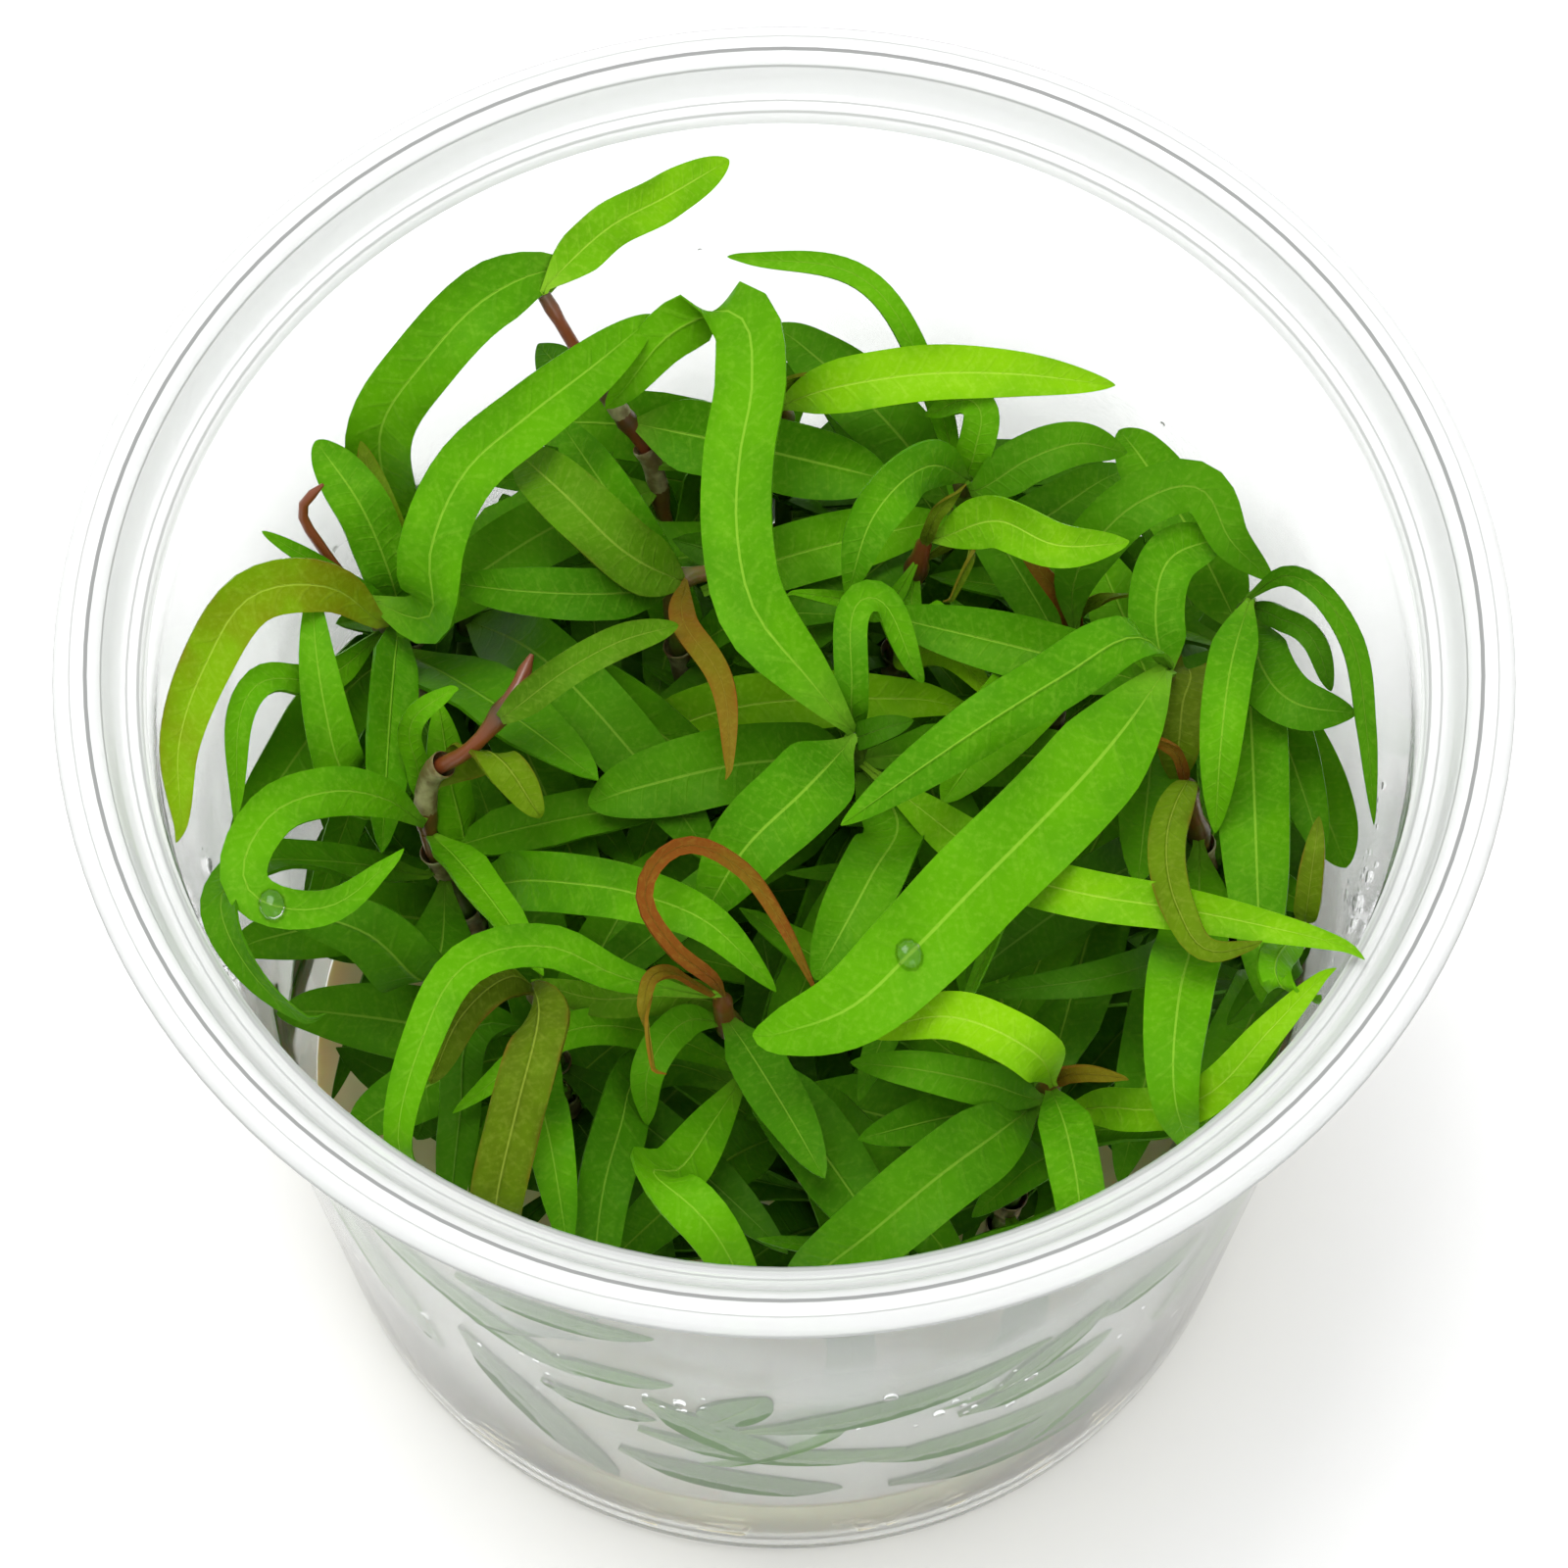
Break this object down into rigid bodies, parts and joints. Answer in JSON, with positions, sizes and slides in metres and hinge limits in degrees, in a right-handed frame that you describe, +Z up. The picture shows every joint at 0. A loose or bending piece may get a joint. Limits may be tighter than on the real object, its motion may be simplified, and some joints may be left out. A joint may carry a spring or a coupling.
{
  "type": "potted aquarium plant in a culture cup",
  "caption": "Tuft of persicaria with lance-shaped leaves on jointed stems, rooted in pale gel in a clear open cup with a rolled rim.",
  "frame": {"origin": "middle of the cup's flat underside", "axes": "+Z up the cup, +X to the right and +Y to the back of the view that the picture has"},
  "size_m": [0.101, 0.101, 0.086],
  "materials": {
    "leaf_lime": "soft sheen, yellow-green leaf",
    "leaf_bright": "soft sheen, bright green leaf",
    "leaf_green": "soft sheen, green leaf",
    "leaf_dark": "soft sheen, dark green leaf",
    "leaf_olive": "soft sheen, olive leaf with red-brown edges",
    "leaf_red": "soft sheen, orange-red young leaf",
    "stem": "smooth, green to red-brown stem",
    "cup": "clear moulded plastic, fogged inside below the seat",
    "gel": "cloudy set gel with a wet surface"
  },
  "bodies": {
    "root": {"leaf_front_large": "leaf_bright", "leaf_long_diagonal": "leaf_lime", "leaf_orange_curl": "leaf_red", "leaf_centre_arch": "leaf_bright", "leaf_left_diagonal": "leaf_bright", "leaf_curled_left": "leaf_bright", "leaf_front_arch": "leaf_bright", "leaf_twisted_front": "leaf_olive", "leaf_olive_red": "leaf_olive", "leaf_right_bright": "leaf_lime", "leaf_right_arch": "leaf_green", "leaf_right_yellow": "leaf_lime", "leaf_right_big_arch": "leaf_green", "leaf_back_point": "leaf_lime", "leaf_bright_arch": "leaf_bright", "leaf_back_tip": "leaf_lime", "leaf_back_droop": "leaf_green", "leaf_left_yellow": "leaf_lime", "leaf_red_hanging": "leaf_red", "leaf_yellow_green": "leaf_lime", "leaf_olive_broad": "leaf_olive", "leaf_left_flat": "leaf_green", "leaf_front_fold": "leaf_olive", "leaf_left_bright": "leaf_bright", "leaf_centre_broad": "leaf_bright", "leaf_right_vertical": "leaf_bright", "leaf_right_edge": "leaf_lime", "leaf_wavy": "leaf_lime", "leaf_right_upright": "leaf_bright", "leaf_olive_right": "leaf_olive", "leaf_far_right": "leaf_green", "leaf_back_right": "leaf_green", "leaf_wall_left": "leaf_green", "leaf_left_vertical": "leaf_bright", "leaf_left_low_broad": "leaf_green", "leaf_front_bright": "leaf_bright", "leaf_front_low": "leaf_green", "leaf_front_right_broad": "leaf_green", "leaf_front_right_long": "leaf_green", "stem_back_left": "stem", "stem_left": "stem", "stem_middle_back": "stem", "stem_front": "stem", "stem_right": "stem", "stem_centre_right": "stem", "stem_young": "stem", "stem_left_red": "stem", "stem_back_right": "stem", "stem_far_right": "stem", "stem_right_middle": "stem", "stem_front_right": "stem", "stem_wall_right": "stem", "stem_centre": "stem", "stem_front_left": "stem", "stem_back_wall": "stem", "stem_back": "stem", "stem_left_back": "stem", "stem_middle": "stem", "cup": "cup", "gel": "gel"}
  },
  "joints": []
}
